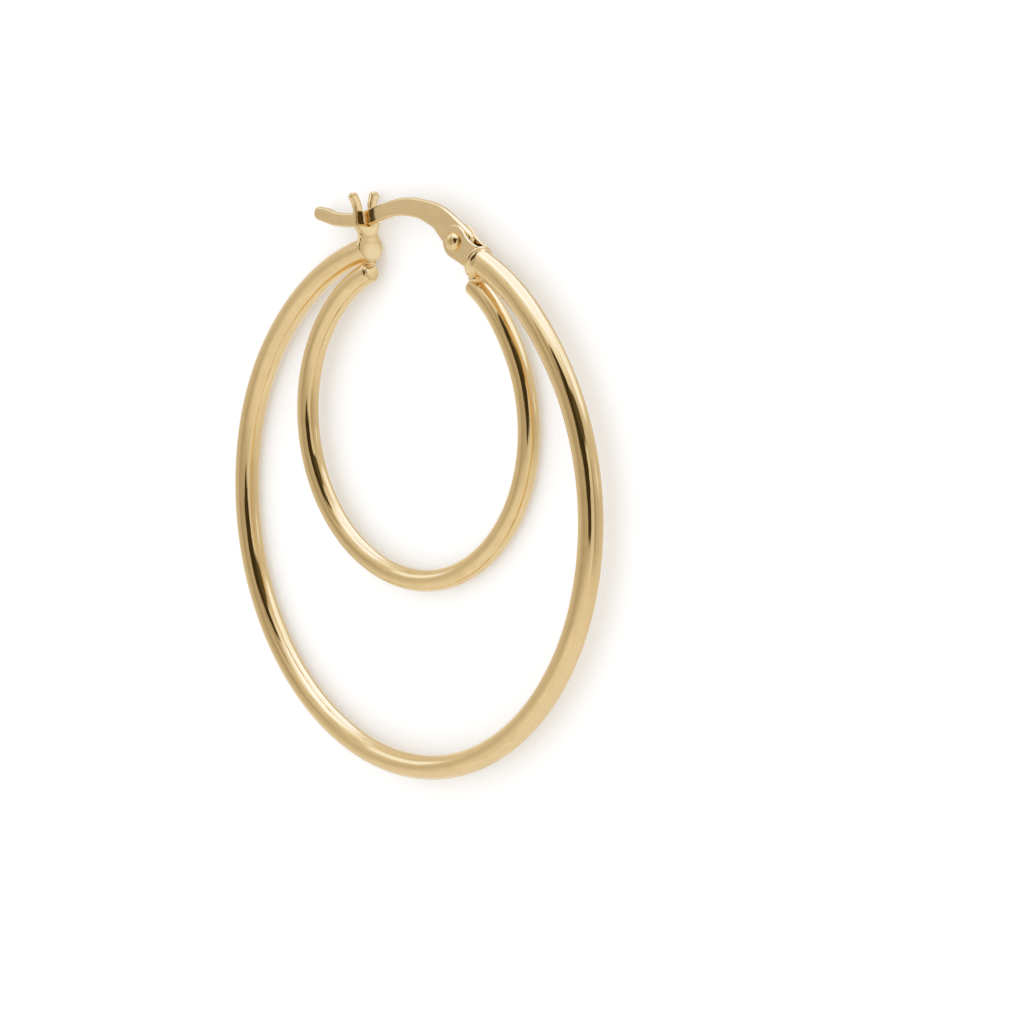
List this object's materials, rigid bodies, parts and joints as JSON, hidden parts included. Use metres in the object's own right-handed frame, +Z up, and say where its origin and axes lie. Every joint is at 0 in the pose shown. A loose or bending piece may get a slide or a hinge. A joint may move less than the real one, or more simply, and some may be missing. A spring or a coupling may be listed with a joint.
{
  "type": "double hoop earring",
  "caption": "Polished gold double hoop earring: two round tube hoops soldered at the clasp, closed by a hinged ear wire that snaps into a forked catch.",
  "frame": {"origin": "middle of the earring's box at the level of the surface that it lies on", "axes": "+Z up, out of the surface that the earring lies on; +Y in the plane of the hoops towards the clasp; +X from the catch to the hinge"},
  "size_m": [0.04, 0.0424, 0.0028],
  "materials": {
    "hoop_gold": "polished yellow gold",
    "ear_wire_gold": "satin yellow gold with polished edges",
    "rivet_gold": "polished yellow gold"
  },
  "bodies": {
    "frame": {"hoop_frame": "hoop_gold", "hinge_rivet": "rivet_gold"},
    "ear_wire": {"ear_wire": "ear_wire_gold"}
  },
  "joints": [
    {"name": "clasp_hinge", "type": "hinge", "parent": "frame", "child": "ear_wire", "pos_m": [0.00498, 0.01809, 0.0016], "axis": [0.0252, 0.0054, -0.9997], "range_deg": [0, 105]}
  ]
}
